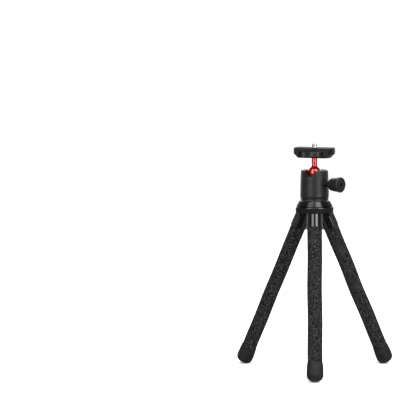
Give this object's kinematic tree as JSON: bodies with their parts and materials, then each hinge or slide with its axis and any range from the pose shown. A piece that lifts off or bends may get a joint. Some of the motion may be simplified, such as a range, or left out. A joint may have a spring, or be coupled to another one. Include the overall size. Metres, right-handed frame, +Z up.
{
  "type": "flexible leg tripod",
  "caption": "Tabletop tripod with bendable foam legs, a round hub and a small ball head with a captive camera screw.",
  "frame": {"origin": "on the floor, at the middle of the box round the object", "axes": "+Z up along the head's axis, towards the camera screw; -Y towards the front leg; +X to the right seen from the front"},
  "size_m": [0.1819, 0.1602, 0.2619],
  "materials": {
    "gloss_black": "smooth glossy moulded plastic",
    "matt_rubber": "finely ribbed matt rubber",
    "foam": "fine closed-cell foam, matt charcoal",
    "foot_rubber": "smooth matt rubber",
    "head_black": "satin anodised charcoal",
    "ball_red": "red anodised, semi-gloss",
    "knob_black": "satin moulded plastic",
    "platform_black": "satin anodised black",
    "steel": "plain steel",
    "dark_steel": "blackened steel",
    "brass_cup": "turned brass",
    "nylon": "natural nylon",
    "wire": "soft annealed rod"
  },
  "bodies": {
    "hub": {"hub_base": "matt_rubber", "hub_bell": "gloss_black", "hub_screws": "dark_steel", "stud_washer": "steel", "pan_washer": "nylon", "front_collar": "gloss_black", "front_core": "wire", "right_collar": "gloss_black", "right_core": "wire", "left_collar": "gloss_black", "left_core": "wire"},
    "head": {"head_stud": "steel", "head_base": "head_black", "head_housing": "head_black"},
    "cup": {"pressure_cup": "brass_cup"},
    "lock": {"lock_bolt": "dark_steel", "lock_knob": "knob_black", "knob_screw": "dark_steel"},
    "ball": {"ball_stem": "ball_red"},
    "platform": {"platform": "platform_black", "stem_screw": "dark_steel", "platform_pad": "foot_rubber"},
    "wheel": {"lock_wheel": "platform_black", "camera_screw": "steel"},
    "front_leg_1": {"front_foam_1": "foam"},
    "front_leg_2": {"front_foam_2": "foam"},
    "front_leg_3": {"front_foam_3": "foam"},
    "front_leg_4": {"front_foam_4": "foam"},
    "front_leg_5": {"front_foam_5": "foam"},
    "front_leg_6": {"front_foam_6": "foam"},
    "front_leg_7": {"front_foam_7": "foam", "front_foot_cap": "foot_rubber"},
    "right_leg_1": {"right_foam_1": "foam"},
    "right_leg_2": {"right_foam_2": "foam"},
    "right_leg_3": {"right_foam_3": "foam"},
    "right_leg_4": {"right_foam_4": "foam"},
    "right_leg_5": {"right_foam_5": "foam"},
    "right_leg_6": {"right_foam_6": "foam"},
    "right_leg_7": {"right_foam_7": "foam", "right_foot_cap": "foot_rubber"},
    "left_leg_1": {"left_foam_1": "foam"},
    "left_leg_2": {"left_foam_2": "foam"},
    "left_leg_3": {"left_foam_3": "foam"},
    "left_leg_4": {"left_foam_4": "foam"},
    "left_leg_5": {"left_foam_5": "foam"},
    "left_leg_6": {"left_foam_6": "foam"},
    "left_leg_7": {"left_foam_7": "foam", "left_foot_cap": "foot_rubber"}
  },
  "joints": [
    {"name": "head_turn", "type": "hinge", "parent": "hub", "child": "head", "pos_m": [0, 0.02345, 0.19674], "axis": [0, 0, 1], "continuous": true},
    {"name": "ball_tilt", "type": "hinge", "parent": "head", "child": "ball", "pos_m": [0, 0.02345, 0.22844], "axis": [0.9272, -0.3746, 0], "range_deg": [-35, 90]},
    {"name": "platform_turn", "type": "hinge", "parent": "ball", "child": "platform", "pos_m": [0, 0.02345, 0.24564], "axis": [0, 0, 1], "continuous": true},
    {"name": "lock_wheel_turn", "type": "hinge", "parent": "platform", "child": "wheel", "pos_m": [0, 0.02345, 0.24769], "axis": [0, 0, 1], "continuous": true},
    {"name": "lock_knob_turn", "type": "hinge", "parent": "head", "child": "lock", "pos_m": [0.01888, 0.00815, 0.21604], "axis": [0.7771, -0.6293, 0], "range_deg": [-10, 280]},
    {"name": "cup_slide", "type": "slide", "parent": "head", "child": "cup", "axis": [0, 0, -1], "range_m": [0, 0.000225]},
    {"name": "front_bend_1", "type": "hinge", "parent": "hub", "child": "front_leg_1", "pos_m": [0, 0.00023, 0.1616], "axis": [-1, 0, 0], "range_deg": [-30, 45], "deforming": ["front_core"]},
    {"name": "front_bend_2", "type": "hinge", "parent": "front_leg_1", "child": "front_leg_2", "pos_m": [0, -0.00971, 0.14008], "axis": [0, -0.9078, 0.4195], "range_deg": [-45, 45], "deforming": ["front_core"]},
    {"name": "front_bend_3", "type": "hinge", "parent": "front_leg_2", "child": "front_leg_3", "pos_m": [0, -0.01965, 0.11857], "axis": [1, 0, 0], "range_deg": [-45, 45], "deforming": ["front_core"]},
    {"name": "front_bend_4", "type": "hinge", "parent": "front_leg_3", "child": "front_leg_4", "pos_m": [0, -0.02959, 0.09705], "axis": [0, 0.9078, -0.4195], "range_deg": [-45, 45], "deforming": ["front_core"]},
    {"name": "front_bend_5", "type": "hinge", "parent": "front_leg_4", "child": "front_leg_5", "pos_m": [0, -0.03953, 0.07554], "axis": [-1, 0, 0], "range_deg": [-45, 45], "deforming": ["front_core"]},
    {"name": "front_bend_6", "type": "hinge", "parent": "front_leg_5", "child": "front_leg_6", "pos_m": [0, -0.04947, 0.05402], "axis": [0, -0.9078, 0.4195], "range_deg": [-45, 45], "deforming": ["front_core"]},
    {"name": "front_bend_7", "type": "hinge", "parent": "front_leg_6", "child": "front_leg_7", "pos_m": [0, -0.05942, 0.03251], "axis": [1, 0, 0], "range_deg": [-45, 45], "deforming": ["front_core"]},
    {"name": "right_bend_1", "type": "hinge", "parent": "hub", "child": "right_leg_1", "pos_m": [0.02011, 0.03505, 0.1616], "axis": [0.5, -0.866, 0], "range_deg": [-30, 45], "deforming": ["right_core"]},
    {"name": "right_bend_2", "type": "hinge", "parent": "right_leg_1", "child": "right_leg_2", "pos_m": [0.02871, 0.04002, 0.14008], "axis": [0.7862, 0.4539, 0.4195], "range_deg": [-45, 45], "deforming": ["right_core"]},
    {"name": "right_bend_3", "type": "hinge", "parent": "right_leg_2", "child": "right_leg_3", "pos_m": [0.03732, 0.04499, 0.11857], "axis": [-0.5, 0.866, 0], "range_deg": [-45, 45], "deforming": ["right_core"]},
    {"name": "right_bend_4", "type": "hinge", "parent": "right_leg_3", "child": "right_leg_4", "pos_m": [0.04593, 0.04996, 0.09705], "axis": [-0.7862, -0.4539, -0.4195], "range_deg": [-45, 45], "deforming": ["right_core"]},
    {"name": "right_bend_5", "type": "hinge", "parent": "right_leg_4", "child": "right_leg_5", "pos_m": [0.05454, 0.05493, 0.07554], "axis": [0.5, -0.866, 0], "range_deg": [-45, 45], "deforming": ["right_core"]},
    {"name": "right_bend_6", "type": "hinge", "parent": "right_leg_5", "child": "right_leg_6", "pos_m": [0.06315, 0.0599, 0.05402], "axis": [0.7862, 0.4539, 0.4195], "range_deg": [-45, 45], "deforming": ["right_core"]},
    {"name": "right_bend_7", "type": "hinge", "parent": "right_leg_6", "child": "right_leg_7", "pos_m": [0.07176, 0.06488, 0.03251], "axis": [-0.5, 0.866, 0], "range_deg": [-45, 45], "deforming": ["right_core"]},
    {"name": "left_bend_1", "type": "hinge", "parent": "hub", "child": "left_leg_1", "pos_m": [-0.02011, 0.03505, 0.1616], "axis": [0.5, 0.866, 0], "range_deg": [-30, 45], "deforming": ["left_core"]},
    {"name": "left_bend_2", "type": "hinge", "parent": "left_leg_1", "child": "left_leg_2", "pos_m": [-0.02871, 0.04002, 0.14008], "axis": [-0.7862, 0.4539, 0.4195], "range_deg": [-45, 45], "deforming": ["left_core"]},
    {"name": "left_bend_3", "type": "hinge", "parent": "left_leg_2", "child": "left_leg_3", "pos_m": [-0.03732, 0.04499, 0.11857], "axis": [-0.5, -0.866, 0], "range_deg": [-45, 45], "deforming": ["left_core"]},
    {"name": "left_bend_4", "type": "hinge", "parent": "left_leg_3", "child": "left_leg_4", "pos_m": [-0.04593, 0.04996, 0.09705], "axis": [0.7862, -0.4539, -0.4195], "range_deg": [-45, 45], "deforming": ["left_core"]},
    {"name": "left_bend_5", "type": "hinge", "parent": "left_leg_4", "child": "left_leg_5", "pos_m": [-0.05454, 0.05493, 0.07554], "axis": [0.5, 0.866, 0], "range_deg": [-45, 45], "deforming": ["left_core"]},
    {"name": "left_bend_6", "type": "hinge", "parent": "left_leg_5", "child": "left_leg_6", "pos_m": [-0.06315, 0.0599, 0.05402], "axis": [-0.7862, 0.4539, 0.4195], "range_deg": [-45, 45], "deforming": ["left_core"]},
    {"name": "left_bend_7", "type": "hinge", "parent": "left_leg_6", "child": "left_leg_7", "pos_m": [-0.07176, 0.06488, 0.03251], "axis": [-0.5, -0.866, 0], "range_deg": [-45, 45], "deforming": ["left_core"]}
  ],
  "couplings": [
    {"joint": "lock_knob_turn", "follows": "cup_slide", "rad_per_m": 20940}
  ]
}
